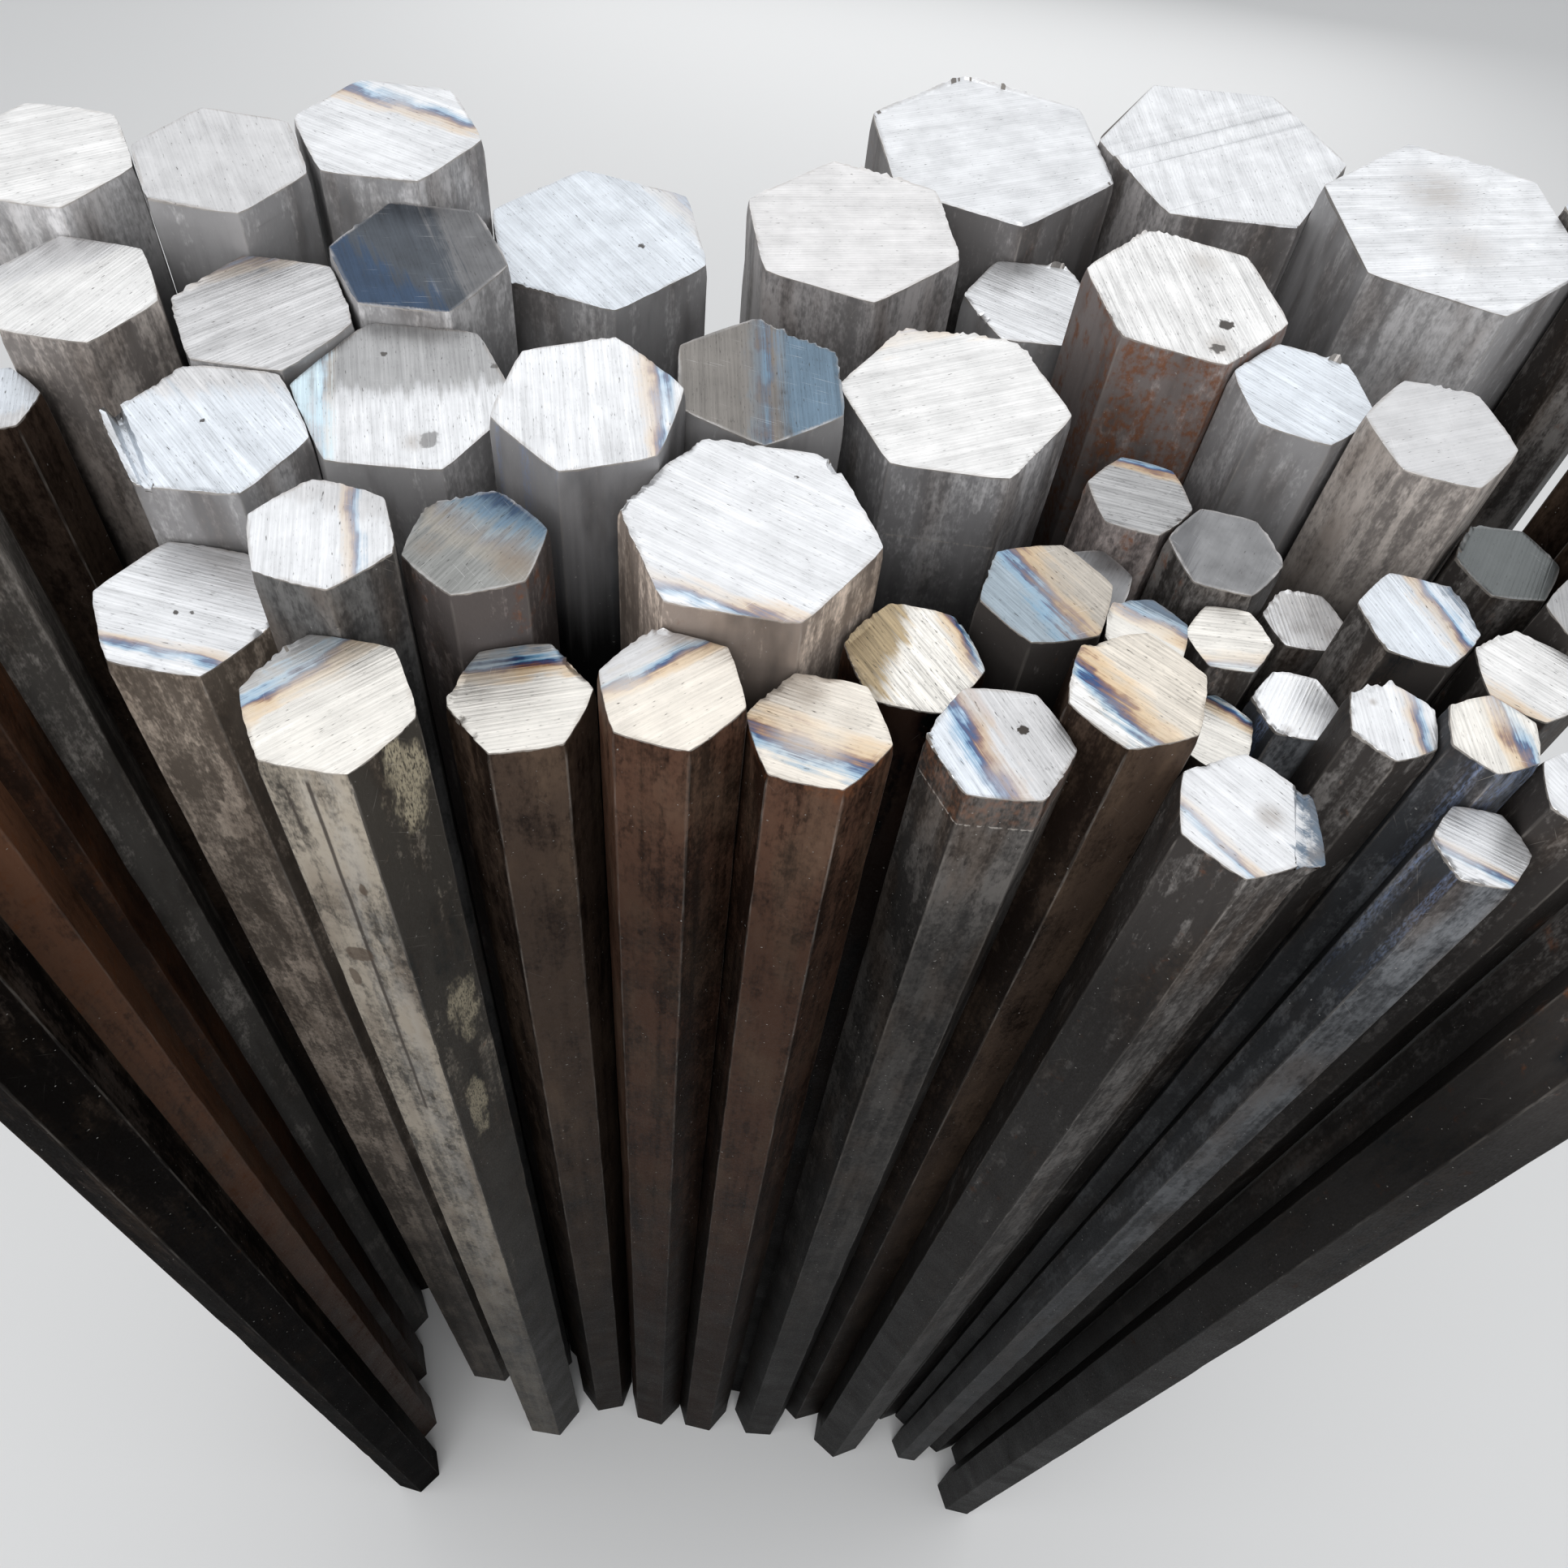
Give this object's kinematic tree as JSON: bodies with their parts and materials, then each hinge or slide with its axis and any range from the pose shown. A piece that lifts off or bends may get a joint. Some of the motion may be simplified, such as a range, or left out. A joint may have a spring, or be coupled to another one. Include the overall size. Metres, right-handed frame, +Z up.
{
  "type": "bundle of hexagonal steel bars",
  "caption": "Standing stock of hot-rolled hexagonal steel bars in mixed sizes, cut to length and packed upright side by side, with sawn and heat-tinted end faces.",
  "frame": {"origin": "centre of the bundle's footprint rectangle, on the floor that the bars stand on", "axes": "+Z up along the bars; -Y towards the viewer, +X to the viewer's right"},
  "size_m": [0.6126, 0.4134, 1.0184],
  "materials": {
    "rolled_steel": "rolled scale on the sides, saw-cut ends"
  },
  "bodies": {
    "root": {"bar_01": "rolled_steel", "bar_02": "rolled_steel", "bar_03": "rolled_steel", "bar_04": "rolled_steel", "bar_05": "rolled_steel", "bar_06": "rolled_steel", "bar_07": "rolled_steel", "bar_08": "rolled_steel", "bar_09": "rolled_steel", "bar_10": "rolled_steel", "bar_11": "rolled_steel", "bar_12": "rolled_steel", "bar_13": "rolled_steel", "bar_14": "rolled_steel", "bar_15": "rolled_steel", "bar_16": "rolled_steel", "bar_17": "rolled_steel", "bar_18": "rolled_steel", "bar_19": "rolled_steel", "bar_20": "rolled_steel", "bar_21": "rolled_steel", "bar_22": "rolled_steel", "bar_23": "rolled_steel", "bar_24": "rolled_steel", "bar_25": "rolled_steel", "bar_26": "rolled_steel", "bar_27": "rolled_steel", "bar_28": "rolled_steel", "bar_29": "rolled_steel", "bar_30": "rolled_steel", "bar_31": "rolled_steel", "bar_32": "rolled_steel", "bar_33": "rolled_steel", "bar_34": "rolled_steel", "bar_35": "rolled_steel", "bar_36": "rolled_steel", "bar_37": "rolled_steel", "bar_38": "rolled_steel", "bar_39": "rolled_steel", "bar_40": "rolled_steel", "bar_41": "rolled_steel", "bar_42": "rolled_steel", "bar_43": "rolled_steel", "bar_44": "rolled_steel", "bar_45": "rolled_steel", "bar_46": "rolled_steel", "bar_47": "rolled_steel", "bar_48": "rolled_steel", "bar_49": "rolled_steel", "bar_50": "rolled_steel", "bar_51": "rolled_steel", "bar_52": "rolled_steel", "bar_53": "rolled_steel", "bar_54": "rolled_steel", "bar_55": "rolled_steel", "bar_56": "rolled_steel", "bar_57": "rolled_steel", "bar_58": "rolled_steel", "bar_59": "rolled_steel", "bar_60": "rolled_steel"}
  },
  "joints": []
}
